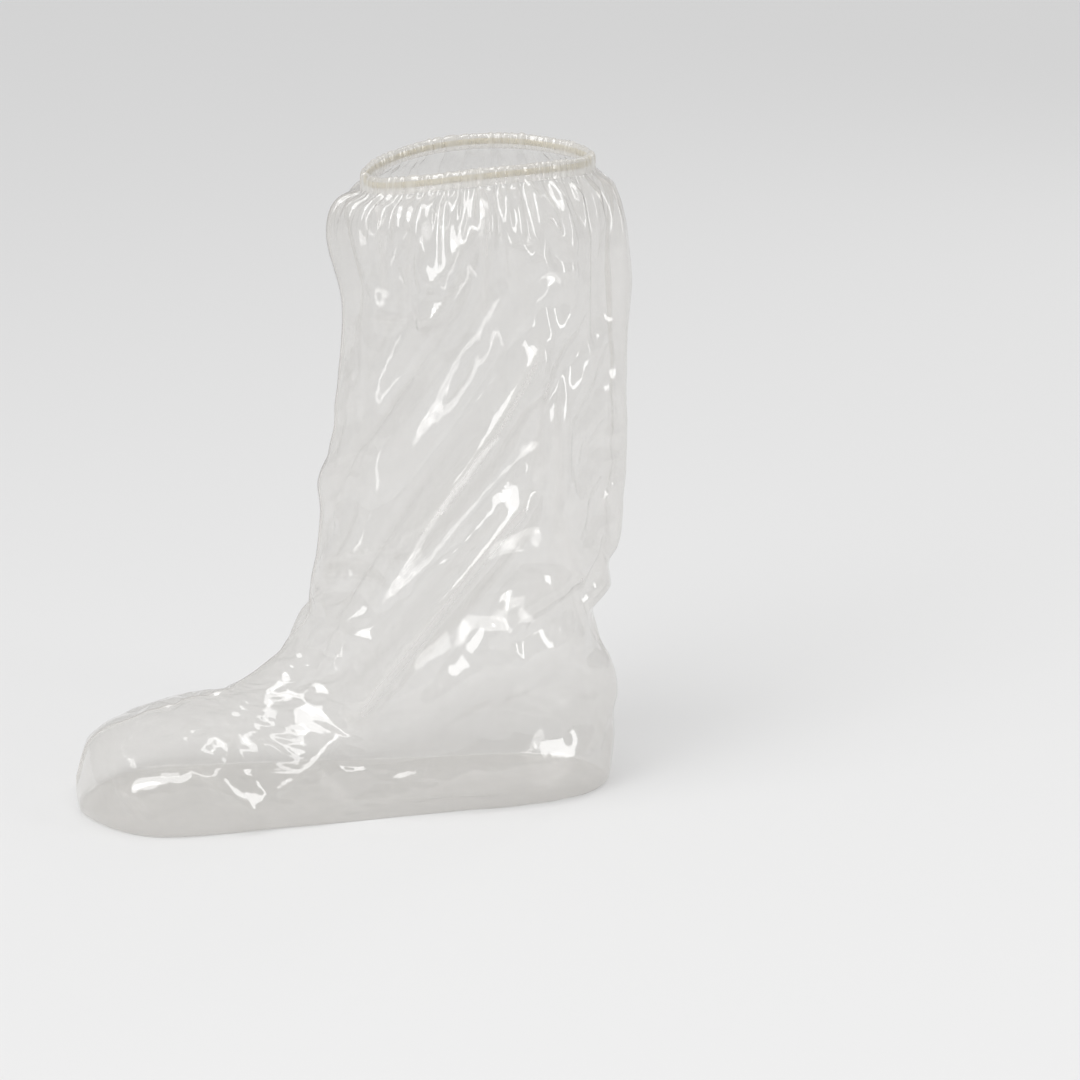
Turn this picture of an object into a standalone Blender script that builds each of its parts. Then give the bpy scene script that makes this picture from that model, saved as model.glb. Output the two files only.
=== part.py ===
"""A boot-height shoe cover of clear plastic film, in the form that it has when it is worn.

Metres, +Z up. The toe points to -Y, and X is the width. The origin lies on the inner
face of the sole, under the middle of the leg.

film_body     the film bag: sole, heel, toe, instep and shaft, with its weld line and folds
top_hem       the edge of the film turned over at the mouth into a gathered casing
elastic_band  the narrow elastic that runs in the casing
"""
import math

import bmesh
import bpy
from mathutils import Vector

# Film
WALL = 0.0012            # film wall of the model
CLEARANCE = 0.0003       # between pieces that meet

# Casing and elastic
HEM_WALL = 0.0010
HEM_OVERLAP = 0.0030     # how far the film reaches up into the casing
HEM_SIDE_ROOM = 0.0009   # between the casing and what it holds, on each side
HEM_TOP_ROOM = 0.0012    # between the elastic and the casing's top
HEM_GATHER_DEPTH = 0.0030
HEM_SCALLOP = 0.0015     # how far the gathers raise the top of the casing
ELASTIC_HEIGHT = 0.0040
ELASTIC_THICK = 0.0012

# Shaft
HEIGHT = 0.410           # top of the casing at the back
MOUTH_DROP = 0.010       # how much lower the mouth is at the front
MOUTH_CROWN = 0.007      # how much the mouth rises at the sides
ANKLE_HEIGHT = 0.130     # where the shaft ends and the foot begins
SHAFT_FRONT = 0.100      # leg axis to the front of the shaft
SHAFT_BACK = 0.0905      # leg axis to the back of the shaft
SHAFT_HALF_WIDTH = 0.077

# Foot
TOE_REACH = 0.261        # leg axis to the tip of the toe
HEEL_REACH = 0.088       # leg axis to the back of the heel
FOOT_HALF_WIDTH = 0.070

# Folds and gathers
FOLD_WIDTH = 0.013       # half the width of a main fold
FOLD_HEIGHT = 0.0075     # how far a main fold stands out
VALLEY_PLACE = 1.9       # valley beside a fold, in fold widths from its line
VALLEY_DEPTH = 0.35      # of the valley, as a share of the fold's height
FOLD_END_LENGTH = 0.20   # of a fold's line, over which the fold rises at each end
FOLD_END_START = 0.30    # how far a fold has already risen at the very end of its line
FACING_NONE = 0.15       # how squarely film has to face a fold's side before the fold shows on it
FACING_FULL = 0.60       # and how squarely before the fold has its whole height
FOLD_MEETING = 4.0       # where folds meet: 1 would add up their heights, more lets the highest count most
WELD_HEIGHT = 0.0016     # ridge of the weld line
GATHER_COUNT = 30        # round the mouth
GATHER_DEPTH = 0.0050    # of the gathers just under the casing
GATHER_LENGTH = 0.075    # how far down the gathers run
GATHER_START = 0.013     # below the film's edge, where the gathers reach their depth
GATHER_FADE = 2.0        # how fast the fine gathers fade over their length
GATHER_FRONT = 0.35      # share of their depth that they keep at the front, where they crowd
FLUTE_PLACE = 0.7        # of GATHER_LENGTH down, where the slower flutes are deepest
FLUTE_FADE = 3.0         # how fast the flutes fade above and below that
SOLE_TURN = 0.6          # how far the film may face down before it counts as the sole, which stays flat
COLLAR = 0.0042          # film below its edge that keeps the edge's width
TIP_SHARE = 0.8          # how far the toe's last point reaches from the last section to TOE_REACH

# Fineness of the meshes
FILM_COLUMNS = 2 * GATHER_COUNT
HEM_COLUMNS = 3 * GATHER_COUNT
ELASTIC_COLUMNS = 48
FOLD_STEPS = 12
RIM_TURN = 0.01          # radians each way, over which the rim's direction is taken

# Worked out
SOLE_LEVEL = -WALL
HEM_HEIGHT = HEM_OVERLAP + CLEARANCE + ELASTIC_HEIGHT + HEM_TOP_ROOM + HEM_WALL + HEM_SCALLOP
RIM_LEVEL = HEIGHT - HEM_HEIGHT + HEM_OVERLAP
RIM_MIDDLE = -0.5 * WALL
HEM_SIDE = 0.5 * max(WALL, ELASTIC_THICK) + HEM_SIDE_ROOM + HEM_WALL

# Sections of the shaft, from the mouth down. Levels are shares of the way from the ankle to the rim
# of the film, front and back are shares of SHAFT_FRONT and SHAFT_BACK, half_width of SHAFT_HALF_WIDTH.
# A keel of 1 brings the front to an edge, crown is a share of MOUTH_CROWN, and steps is the number of
# mesh rows down to the next section.
SHAFT_COLUMNS = ("front_level", "back_level", "front", "back", "half_width", "keel", "crown", "steps")
SHAFT_SECTIONS = (
    (1.000, 1.000, 0.71, 0.78, 0.76, 0.00, 1.0, 1),
    (0.975, 0.970, 0.79, 0.86, 0.82, 0.00, 0.9, 1),
    (0.940, 0.920, 0.85, 0.92, 0.92, 0.05, 0.7, 2),
    (0.870, 0.845, 0.865, 0.955, 0.97, 0.15, 0.3, 2),
    (0.733, 0.700, 0.80, 0.95, 0.96, 0.25, 0.0, 3),
    (0.590, 0.540, 0.84, 0.955, 0.92, 0.35, 0.0, 3),
    (0.420, 0.390, 0.905, 0.965, 0.90, 0.45, 0.0, 3),
    (0.270, 0.250, 0.965, 0.95, 0.90, 0.50, 0.0, 2),
    (0.120, 0.110, 1.02, 0.92, 0.88, 0.50, 0.0, 2),
)

# Sections of the foot, from the ankle to the toe. top_y and low_y are shares of TOE_REACH forward and
# of HEEL_REACH backward, top_z and low_z are shares of ANKLE_HEIGHT, half_width of FOOT_HALF_WIDTH.
# A flat of 1 squares the lower end of the section, as the sole does.
FOOT_COLUMNS = ("top_y", "top_z", "low_y", "low_z", "half_width", "keel", "flat", "steps")
FOOT_SECTIONS = (
    (-0.410, 0.990, 0.870, 0.97, 0.95, 0.45, 0.00, 1),
    (-0.427, 0.910, 0.875, 0.81, 0.94, 0.40, 0.00, 1),
    (-0.445, 0.848, 0.920, 0.66, 0.93, 0.35, 0.00, 1),
    (-0.460, 0.803, 0.980, 0.51, 0.91, 0.32, 0.00, 1),
    (-0.475, 0.762, 0.980, 0.34, 0.88, 0.30, 0.05, 1),
    (-0.490, 0.725, 0.965, 0.16, 0.85, 0.28, 0.10, 1),
    (-0.508, 0.693, 0.940, -0.07, 0.82, 0.26, 0.20, 1),
    (-0.532, 0.655, 0.790, -0.24, 0.79, 0.25, 0.30, 1),
    (-0.558, 0.618, 0.450, -0.26, 0.78, 0.25, 0.40, 1),
    (-0.594, 0.574, 0.050, -0.22, 0.80, 0.25, 0.55, 1),
    (-0.636, 0.538, -0.260, -0.18, 0.87, 0.25, 0.70, 2),
    (-0.700, 0.512, -0.530, -0.14, 0.95, 0.25, 0.80, 2),
    (-0.780, 0.478, -0.740, -0.13, 1.00, 0.25, 0.80, 2),
    (-0.860, 0.424, -0.850, -0.12, 0.91, 0.20, 0.80, 2),
    (-0.930, 0.362, -0.928, -0.08, 0.68, 0.10, 0.60, 1),
    (-0.967, 0.290, -0.968, -0.04, 0.48, 0.00, 0.40, 1),
    (-0.992, 0.150, -0.992, -0.01, 0.26, 0.00, 0.20, 0),
)

# Folds of the film. view is the side that a fold lies on, and its line bends through three points.
# On the left and right, across is a share of TOE_REACH forward and of HEEL_REACH backward; on the front
# and back it is a share of SHAFT_HALF_WIDTH. up is a share of HEIGHT, width and height of FOLD_WIDTH
# and FOLD_HEIGHT.
FOLD_COLUMNS = ("view", "across_1", "up_1", "across_2", "up_2", "across_3", "up_3", "width", "height")
FOLDS = (
    ("left", 0.30, 0.751, 0.06, 0.610, -0.24, 0.410, 1.00, 0.95),
    ("left", -0.23, 0.429, -0.31, 0.424, -0.45, 0.356, 0.86, 0.60),
    ("left", 0.27, 0.517, -0.11, 0.390, -0.37, 0.122, 1.00, 1.00),
    ("left", 0.64, 0.276, -0.12, 0.232, -0.51, 0.040, 1.30, 0.70),
    ("left", 0.30, 0.751, 0.30, 0.630, 0.30, 0.515, 0.82, 0.50),
    ("left", 0.41, 0.670, 0.42, 0.500, 0.65, 0.340, 0.82, 0.60),
    ("left", 0.57, 0.363, 0.30, 0.341, 0.01, 0.312, 0.86, 0.60),
    ("left", -0.03, 0.960, -0.03, 0.860, -0.03, 0.760, 0.78, 0.45),
    ("left", -0.05, 0.920, -0.10, 0.875, -0.16, 0.825, 0.82, 0.60),
    ("left", -0.05, 0.893, -0.08, 0.800, -0.18, 0.772, 0.82, 0.55),
    ("left", 0.31, 0.940, 0.42, 0.910, 0.52, 0.873, 0.78, 0.50),
    ("left", -0.02, 0.880, 0.25, 0.862, 0.55, 0.832, 0.82, 0.40),
    ("left", -0.70, 0.100, -0.65, 0.060, -0.58, 0.020, 0.82, 0.55),
    ("left", -0.90, 0.075, -0.80, 0.090, -0.68, 0.070, 0.82, 0.50),
    ("left", -0.30, 0.055, 0.10, 0.070, 0.70, 0.060, 0.90, 0.40),
    ("right", 0.36, 0.780, 0.02, 0.640, -0.26, 0.460, 1.00, 0.90),
    ("right", 0.36, 0.550, -0.08, 0.400, -0.36, 0.150, 1.00, 1.00),
    ("right", 0.70, 0.300, -0.08, 0.245, -0.46, 0.045, 1.30, 0.70),
    ("right", 0.30, 0.710, 0.34, 0.610, 0.33, 0.490, 0.82, 0.50),
    ("right", 0.62, 0.380, 0.32, 0.350, 0.02, 0.330, 0.86, 0.60),
    ("right", 0.02, 0.950, 0.02, 0.860, 0.02, 0.740, 0.78, 0.45),
    ("right", -0.03, 0.900, -0.12, 0.850, -0.20, 0.790, 0.82, 0.55),
    ("right", 0.05, 0.880, 0.28, 0.860, 0.60, 0.840, 0.82, 0.40),
    ("right", -0.86, 0.085, -0.74, 0.090, -0.62, 0.035, 0.82, 0.55),
    ("right", -0.30, 0.060, 0.15, 0.075, 0.70, 0.060, 0.90, 0.40),
    ("front", -0.08, 0.480, 0.12, 0.520, 0.42, 0.580, 0.86, 0.40),
    ("front", 0.15, 0.460, 0.45, 0.440, 0.80, 0.360, 0.80, 0.40),
    ("front", -0.60, 0.250, -0.35, 0.270, -0.05, 0.285, 0.86, 0.40),
    ("front", 0.05, 0.345, 0.30, 0.315, 0.60, 0.265, 0.86, 0.35),
    ("back", 0.28, 0.860, 0.22, 0.600, 0.30, 0.340, 0.86, 0.60),
    ("back", -0.30, 0.840, -0.24, 0.560, -0.34, 0.370, 0.86, 0.50),
    ("back", -0.50, 0.345, 0.00, 0.300, 0.50, 0.335, 0.80, 0.60),
)

# Section of the casing, from its inner lower edge over the top to its outer lower edge. out is a share
# of HEM_SIDE, up is a share of HEM_HEIGHT, and gather is a share of HEM_GATHER_DEPTH.
HEM_SECTION_COLUMNS = ("out", "up", "gather")
HEM_SECTION = (
    (-1.00, 0.30, -0.8),
    (-0.85, 0.80, -0.6),
    (0.00, 1.00, 0.3),
    (0.85, 0.82, 0.9),
    (1.00, 0.45, 0.6),
    (1.00, 0.00, 1.0),
)

# Which way each view looks, as the direction that the film there faces
VIEW_FACING = {
    "left": Vector((1.0, 0.0, 0.0)),
    "right": Vector((-1.0, 0.0, 0.0)),
    "front": Vector((0.0, -1.0, 0.0)),
    "back": Vector((0.0, 1.0, 0.0)),
}


def clear_scene():
    """Remove whatever the file held before."""
    for thing in list(bpy.data.objects):
        bpy.data.objects.remove(thing, do_unlink=True)


def material(name, color, roughness, transmission=0.0):
    """A plain Principled material."""
    mat = bpy.data.materials.new(name)
    mat.use_nodes = True
    shader = mat.node_tree.nodes["Principled BSDF"]
    shader.inputs["Base Color"].default_value = (*color, 1.0)
    shader.inputs["Roughness"].default_value = roughness
    shader.inputs["Metallic"].default_value = 0.0
    shader.inputs["Transmission Weight"].default_value = transmission
    mat.diffuse_color = (*color, 1.0)
    return mat


def mix(low, high, share):
    """The value a share of the way from low to high."""
    return low + (high - low) * share


def smooth(share):
    """An ease from 0 to 1."""
    share = min(max(share, 0.0), 1.0)
    return share * share * (3.0 - 2.0 * share)


def along(share):
    """A place along the foot: forward of the leg axis is -Y, and backward is +Y."""
    return share * (HEEL_REACH if share > 0.0 else TOE_REACH)


def shaft_section(row):
    """One section of the shaft in metres: its front and back points and its form."""
    item = dict(zip(SHAFT_COLUMNS, row))
    front_level = mix(ANKLE_HEIGHT, RIM_LEVEL - MOUTH_DROP, item["front_level"])
    back_level = mix(ANKLE_HEIGHT, RIM_LEVEL, item["back_level"])
    half_width = item["half_width"] * SHAFT_HALF_WIDTH
    return {
        "top": Vector((0.0, -item["front"] * SHAFT_FRONT, front_level)),
        "low": Vector((0.0, item["back"] * SHAFT_BACK, back_level)),
        "form": Vector((half_width, item["keel"], 0.0, item["crown"] * MOUTH_CROWN)),
        "steps": item["steps"],
    }


def foot_section(row):
    """One section of the foot in metres: its upper and lower points and its form."""
    item = dict(zip(FOOT_COLUMNS, row))
    return {
        "top": Vector((0.0, along(item["top_y"]), item["top_z"] * ANKLE_HEIGHT)),
        "low": Vector((0.0, along(item["low_y"]), item["low_z"] * ANKLE_HEIGHT)),
        "form": Vector((item["half_width"] * FOOT_HALF_WIDTH, item["keel"], item["flat"], 0.0)),
        "steps": item["steps"],
    }


def through(before, start, end, after, share):
    """A smooth curve from start to end that also heeds its neighbours."""
    leave = (end - before) * 0.5
    arrive = (after - start) * 0.5
    square = share * share
    cube = square * share
    return (
        start * (2.0 * cube - 3.0 * square + 1.0)
        + leave * (cube - 2.0 * square + share)
        + end * (3.0 * square - 2.0 * cube)
        + arrive * (cube - square)
    )


def collar_section():
    """The film just below the casing, which it leaves as wide as its edge."""
    section = shaft_section(SHAFT_SECTIONS[0])
    drop = Vector((0.0, 0.0, COLLAR))
    section["top"] -= drop
    section["low"] -= drop
    return section


def section_rows():
    """Every mesh row as (top, low, form), smoothed through the two tables."""
    sections = [shaft_section(row) for row in SHAFT_SECTIONS]
    sections.insert(1, collar_section())
    sections += [foot_section(row) for row in FOOT_SECTIONS]
    last = len(sections) - 1
    rows = []
    for index in range(last):
        near = [sections[min(max(index + offset, 0), last)] for offset in (-1, 0, 1, 2)]
        steps = sections[index]["steps"]
        for step in range(steps):
            share = step / steps
            rows.append([through(*(item[key] for item in near), share) for key in ("top", "low", "form")])
    rows.append([sections[last][key] for key in ("top", "low", "form")])
    return rows


def section_point(row, angle):
    """The point of a section at an angle: 0 is its top or front, pi is its low or back end."""
    top, low, form = row
    half_width, keel, flat, crown = form
    across = math.sin(angle)
    toward_top = math.cos(angle)
    middle = (top + low) * 0.5
    reach = (top - low) * 0.5
    if toward_top >= 0.0:
        edge = keel * toward_top
        width = math.copysign(mix(abs(across), across * across, edge), across)
        place = toward_top
    else:
        power = mix(1.0, 0.5, flat)
        width = math.copysign(abs(across) ** power, across)
        place = -(abs(toward_top) ** power)
    point = middle + reach * place
    point.x = half_width * width
    point.z += crown * across * across
    return point


def rim_point(angle):
    """The outer edge of the film at the mouth."""
    section = shaft_section(SHAFT_SECTIONS[0])
    return section_point((section["top"], section["low"], section["form"]), angle)


def angles(count):
    """Evenly spaced angles round a section, the first at the front."""
    return [2.0 * math.pi * index / count for index in range(count)]


def gather_wave(angle):
    """The uneven wave of the gathers round the mouth, from -1 to 1."""
    strength = 0.65 + 0.25 * math.sin(3.0 * angle + 0.6) + 0.10 * math.sin(8.0 * angle)
    spread = mix(GATHER_FRONT, 1.0, smooth(2.0 * math.sin(0.5 * angle) ** 2))
    return strength * spread * math.cos(GATHER_COUNT * angle)


def broad_wave(angle):
    """Slower flutes that the gathers run out into."""
    return math.sin(7.0 * angle + 0.8) * 0.6 + math.sin(11.0 * angle + 2.1) * 0.4


def fold_lines():
    """Each fold as its facing, the points of its line, its width and its height."""
    lines = []
    for row in FOLDS:
        item = dict(zip(FOLD_COLUMNS, row))
        corners = []
        for number in (1, 2, 3):
            across = item[f"across_{number}"]
            sideways = item["view"] in ("left", "right")
            place = along(across) if sideways else across * SHAFT_HALF_WIDTH
            corners.append(Vector((place, item[f"up_{number}"] * HEIGHT)))
        points = []
        for step in range(FOLD_STEPS + 1):
            share = step / FOLD_STEPS
            first = corners[0].lerp(corners[1], share)
            second = corners[1].lerp(corners[2], share)
            points.append(first.lerp(second, share))
        width = item["width"] * FOLD_WIDTH
        lines.append((item["view"], points, width, item["height"] * FOLD_HEIGHT))
    return lines


def line_distance(place, points):
    """How far a place is from a line, and how far along the line its nearest point is, 0 to 1."""
    best = (math.inf, 0.0)
    last = len(points) - 1
    for index in range(last):
        start = points[index]
        run = points[index + 1] - start
        share = min(max((place - start).dot(run) / run.length_squared, 0.0), 1.0)
        distance = (place - start - run * share).length
        if distance < best[0]:
            best = (distance, (index + share) / last)
    return best


def fold_lift(point, normal, lines):
    """How far the folds lift the film at a point. Where folds meet, the highest ones count most."""
    crests = 0.0
    deepest = 0.0
    for view, points, width, height in lines:
        squareness = normal.dot(VIEW_FACING[view])
        facing = smooth((squareness - FACING_NONE) / (FACING_FULL - FACING_NONE))
        if facing == 0.0:
            continue
        across = point.y if view in ("left", "right") else point.x
        distance, share = line_distance(Vector((across, point.z)), points)
        rise = smooth(share / FOLD_END_LENGTH + FOLD_END_START)
        fall = smooth((1.0 - share) / FOLD_END_LENGTH + FOLD_END_START)
        strength = facing * rise * fall * height
        crests += (strength * math.exp(-((distance / width) ** 2))) ** FOLD_MEETING
        valley = math.exp(-2.0 * (distance / width - VALLEY_PLACE) ** 2)
        deepest = max(deepest, strength * valley * VALLEY_DEPTH)
    return crests ** (1.0 / FOLD_MEETING) - deepest


def gather_lift(depth_below_rim, angle):
    """How far the gathers push the film in or out under the mouth."""
    start = smooth(depth_below_rim / GATHER_START)
    share = depth_below_rim / GATHER_LENGTH
    fine = gather_wave(angle) * math.exp(-GATHER_FADE * share)
    broad = broad_wave(angle) * math.exp(-FLUTE_FADE * (share - FLUTE_PLACE) ** 2)
    return (fine + broad) * start * GATHER_DEPTH


def surface_normals(rows):
    """The outward normal at each point of a grid of rows that close on themselves."""
    last = len(rows) - 1
    normals = []
    for index, row in enumerate(rows):
        above = rows[max(index - 1, 0)]
        below = rows[min(index + 1, last)]
        count = len(row)
        normals.append([])
        for column in range(count):
            around = row[(column + 1) % count] - row[column - 1]
            down = below[column] - above[column]
            normals[-1].append(down.cross(around).normalized())
    return normals


def film_rows():
    """The film's outer surface as rows of points, with its folds, gathers and weld line."""
    sections = section_rows()
    turns = angles(FILM_COLUMNS)
    rows = [[section_point(section, angle) for angle in turns] for section in sections]
    normals = surface_normals(rows)
    lines = fold_lines()
    finished = []
    for row, row_normals in zip(rows, normals):
        finished.append([])
        for column, (point, normal) in enumerate(zip(row, row_normals)):
            rim = rim_point(turns[column])
            off_sole = smooth((normal.z + SOLE_TURN) / (1.0 - SOLE_TURN)) * smooth(point.z / FOLD_WIDTH)
            lift = fold_lift(point, normal, lines) + gather_lift(rim.z - point.z, turns[column])
            if column == 0:
                lift += WELD_HEIGHT * smooth((rim.z - point.z) / GATHER_START)
            moved = point + normal * lift * off_sole
            moved.z = max(moved.z, SOLE_LEVEL)
            finished[-1].append(moved)
    return finished


def loft(name, rows, mat, wall, close_end=False):
    """A skin through rows of points that close on themselves, with a wall inward of it.

    Its triangles slant as the long folds do, from the upper back to the lower front on both sides.
    """
    mesh = bpy.data.meshes.new(name)
    shape = bmesh.new()
    grid = [[shape.verts.new(point) for point in row] for row in rows]
    count = len(rows[0])
    for upper, lower in zip(grid, grid[1:]):
        for column in range(count):
            after = (column + 1) % count
            if column < count // 2:
                shape.faces.new((upper[column], lower[column], upper[after]))
                shape.faces.new((lower[column], lower[after], upper[after]))
            else:
                shape.faces.new((upper[column], lower[column], lower[after]))
                shape.faces.new((upper[column], lower[after], upper[after]))
    if close_end:
        tip = sum((vert.co for vert in grid[-1]), Vector()) / count
        tip.y -= (TOE_REACH + tip.y) * TIP_SHARE
        centre = shape.verts.new(tip)
        for column in range(count):
            shape.faces.new((grid[-1][column], centre, grid[-1][(column + 1) % count]))
    shape.to_mesh(mesh)
    shape.free()
    mesh.shade_smooth()
    mesh.materials.append(mat)
    thing = bpy.data.objects.new(name, mesh)
    solidify = thing.modifiers.new("wall", "SOLIDIFY")
    solidify.thickness = wall
    solidify.offset = -1.0
    return thing


def rim_frame(angle):
    """The film's edge at an angle, and the direction out of the mouth there, level."""
    around = rim_point(angle + RIM_TURN) - rim_point(angle - RIM_TURN)
    outward = Vector((around.y, -around.x, 0.0)).normalized()
    point = rim_point(angle)
    if outward.dot(Vector((point.x, point.y, 0.0))) < 0.0:
        outward.negate()
    return point, outward


def hem_rows():
    """The casing's outer surface, one row for each place of its section."""
    rows = []
    for place in HEM_SECTION:
        item = dict(zip(HEM_SECTION_COLUMNS, place))
        rows.append([])
        for angle in angles(HEM_COLUMNS):
            point, outward = rim_frame(angle)
            wave = 0.5 + 0.5 * gather_wave(angle)
            gather = item["gather"] * HEM_GATHER_DEPTH * wave
            scallop = HEM_SCALLOP * wave * smooth(item["up"] * 2.0 - 1.0)
            level = item["up"] * (HEM_HEIGHT - HEM_SCALLOP) + scallop - HEM_OVERLAP
            moved = point + outward * (RIM_MIDDLE + item["out"] * HEM_SIDE + gather)
            moved.z += level
            rows[-1].append(moved)
    return rows


def elastic_rows():
    """The elastic's outer side, which stands on the film's edge."""
    rows = []
    for level in (CLEARANCE + ELASTIC_HEIGHT, CLEARANCE):
        rows.append([])
        for angle in angles(ELASTIC_COLUMNS):
            point, outward = rim_frame(angle)
            moved = point + outward * (RIM_MIDDLE + 0.5 * ELASTIC_THICK)
            moved.z += level
            rows[-1].append(moved)
    return rows


def film_body():
    """The film bag of sole, heel, toe, instep and shaft."""
    clear_film = material("clear_film", (0.88, 0.87, 0.85), 0.12, 0.85)
    return loft("film_body", film_rows(), clear_film, WALL, close_end=True)


def top_hem():
    """The gathered casing round the mouth."""
    gathered_film = material("gathered_film", (0.86, 0.85, 0.82), 0.20, 0.60)
    return loft("top_hem", hem_rows(), gathered_film, HEM_WALL)


def elastic_band():
    """The elastic in the casing."""
    cream_elastic = material("cream_elastic", (0.80, 0.74, 0.60), 0.75)
    return loft("elastic_band", elastic_rows(), cream_elastic, ELASTIC_THICK)


def main():
    """Build the cover, with its pieces under one empty at the origin."""
    clear_scene()
    parts = bpy.data.collections.new("shoe_cover")
    bpy.context.scene.collection.children.link(parts)
    seat = bpy.data.objects.new("boot_seat", None)
    parts.objects.link(seat)
    for piece in (film_body(), top_hem(), elastic_band()):
        piece.parent = seat
        parts.objects.link(piece)


main()
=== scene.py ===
"""The looks of a boot-height shoe cover of clear film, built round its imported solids.

Metres, +Z up, the toe towards -Y, in the same frame as the solids. The film is a grid of points,
first given its main form and folds, then left to buckle, and then given its pleats and creases.
"""
import math

import bmesh
import bpy
import numpy as np
from mathutils import Euler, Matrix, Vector


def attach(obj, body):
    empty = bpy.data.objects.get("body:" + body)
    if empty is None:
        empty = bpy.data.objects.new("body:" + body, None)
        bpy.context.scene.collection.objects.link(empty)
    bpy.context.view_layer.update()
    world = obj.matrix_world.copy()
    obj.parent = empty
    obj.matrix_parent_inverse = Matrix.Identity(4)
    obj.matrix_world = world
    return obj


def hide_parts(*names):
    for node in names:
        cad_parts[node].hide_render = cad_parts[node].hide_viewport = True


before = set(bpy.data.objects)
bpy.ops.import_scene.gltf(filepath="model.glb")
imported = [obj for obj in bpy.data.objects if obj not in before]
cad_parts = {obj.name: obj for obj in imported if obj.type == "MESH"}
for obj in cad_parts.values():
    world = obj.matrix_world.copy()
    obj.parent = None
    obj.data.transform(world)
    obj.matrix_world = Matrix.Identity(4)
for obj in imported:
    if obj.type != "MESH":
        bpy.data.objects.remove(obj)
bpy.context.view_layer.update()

# A length too short to matter, which keeps a division from failing
TINY = 1e-9

# Main sizes of the film, as the solids have them
WALL = 0.0012
HEIGHT = 0.410
MOUTH_DROP = 0.010
MOUTH_CROWN = 0.007
ANKLE_HEIGHT = 0.130
SHAFT_FRONT = 0.100
SHAFT_BACK = 0.0905
SHAFT_HALF_WIDTH = 0.077
TOE_REACH = 0.261
HEEL_REACH = 0.088
FOOT_HALF_WIDTH = 0.070
HEM_HEIGHT = 0.011
HEM_OVERLAP = 0.003
RIM_LEVEL = HEIGHT - HEM_HEIGHT + HEM_OVERLAP

# Folds, and the gathers and flutes under the mouth. An uneven run round the mouth is a level and a row
# of sine waves, each a height, how many times it goes round and a phase.
FOLD_WIDTH = 0.013
FOLD_HEIGHT = 0.0075
VALLEY_PLACE = 1.9
VALLEY_DEPTH = 0.35
VALLEY_SHARPNESS = 2.0
FOLD_END_LENGTH = 0.20
FOLD_END_START = 0.30
FACING_NONE = 0.15
FACING_FULL = 0.60
FOLD_MEETING = 4.0
SOLE_TURN = 0.6
GATHER_COUNT = 30
GATHER_DEPTH = 0.0050
GATHER_LENGTH = 0.075
GATHER_START = 0.013
GATHER_FADE = 2.0
GATHER_FRONT = 0.35
GATHER_EVENNESS = (0.65, ((0.25, 3, 0.6), (0.10, 8, 0.0)))
FLUTES = (0.0, ((0.6, 7, 0.8), (0.4, 11, 2.1)))
FLUTE_PLACE = 0.7
FLUTE_FADE = 3.0

# Fineness: the film first buckles on this coarse grid, which is then made twice as fine, and again
COLUMNS = 80
ROWS = 75
DENSE_ANGLES = 721
DENSE_STEPS = 24
FOLD_STEPS = 16

# Slack of the film, which makes it buckle: how much longer it is than the form that it lies on. level is
# a share of HEIGHT, around is level round the shaft, along is down it, and diagonal is across the folds
# that run from the upper back to the lower front.
SLACK_COLUMNS = ("level", "around", "along", "diagonal")
SLACK = (
    (0.00, 0.010, 0.018, 0.00),
    (0.12, 0.010, 0.022, 0.01),
    (0.28, 0.015, 0.022, 0.04),
    (0.45, 0.015, 0.015, 0.06),
    (0.72, 0.020, 0.010, 0.05),
    (0.88, 0.045, 0.010, 0.02),
    (1.00, 0.050, 0.005, 0.00),
)
SLACK_ACROSS = (0.0, 0.835, -0.55)

# Faint waves from which the buckles grow: their seed, height, number and shortest and longest length
SLACK_SEED = 11
SLACK_START = 0.0010
SLACK_WAVES = 40
SLACK_WAVE_LENGTHS = (0.012, 0.045)

# What keeps the film in place while it buckles: a share of its rows at the mouth and at the toe, and
# the sole up to a height. No point moves further than the reach.
END_HOLD_ROWS = 0.03
SOLE_HOLD = 0.9
SOLE_HOLD_HEIGHT = 0.006
BUCKLE_REACH = 0.0032

# Links between the points of the grid, as rows down and columns along: the short ones keep the film's
# length, and the long ones keep it from creasing too sharply
STRETCH_LINKS = ((0, 1), (1, 0), (1, 1), (1, -1))
BEND_LINKS = ((0, 3), (3, 0))
STRETCH_STIFFNESS = 0.9

# One row for each grid from coarse to fine: rounds of settling, share of the slack, stiffness against
# bending, and how firmly the film is held to its form
BUCKLE_COLUMNS = ("rounds", "slack", "bend", "form")
BUCKLES = (
    (320, 1.00, 0.26, 0.012),
    (80, 0.12, 0.20, 0.006),
    (20, 0.02, 0.15, 0.004),
)

# Sections of the shaft from the mouth down, and of the foot from the ankle to the toe, as in the solids:
# levels, reaches and widths are shares of the sizes above
SHAFT_COLUMNS = ("front_level", "back_level", "front", "back", "half_width", "keel", "crown")
SHAFT_SECTIONS = (
    (1.000, 1.000, 0.71, 0.78, 0.76, 0.00, 1.0),
    (0.985, 0.985, 0.71, 0.78, 0.76, 0.00, 1.0),
    (0.975, 0.970, 0.79, 0.86, 0.82, 0.00, 0.9),
    (0.940, 0.920, 0.85, 0.92, 0.92, 0.05, 0.7),
    (0.870, 0.845, 0.865, 0.955, 0.97, 0.15, 0.3),
    (0.733, 0.700, 0.80, 0.95, 0.96, 0.25, 0.0),
    (0.590, 0.540, 0.84, 0.955, 0.92, 0.35, 0.0),
    (0.420, 0.390, 0.905, 0.965, 0.90, 0.45, 0.0),
    (0.270, 0.250, 0.965, 0.95, 0.90, 0.50, 0.0),
    (0.120, 0.110, 1.02, 0.92, 0.88, 0.50, 0.0),
)
FOOT_COLUMNS = ("top_y", "top_z", "low_y", "low_z", "half_width", "keel", "flat")
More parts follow.
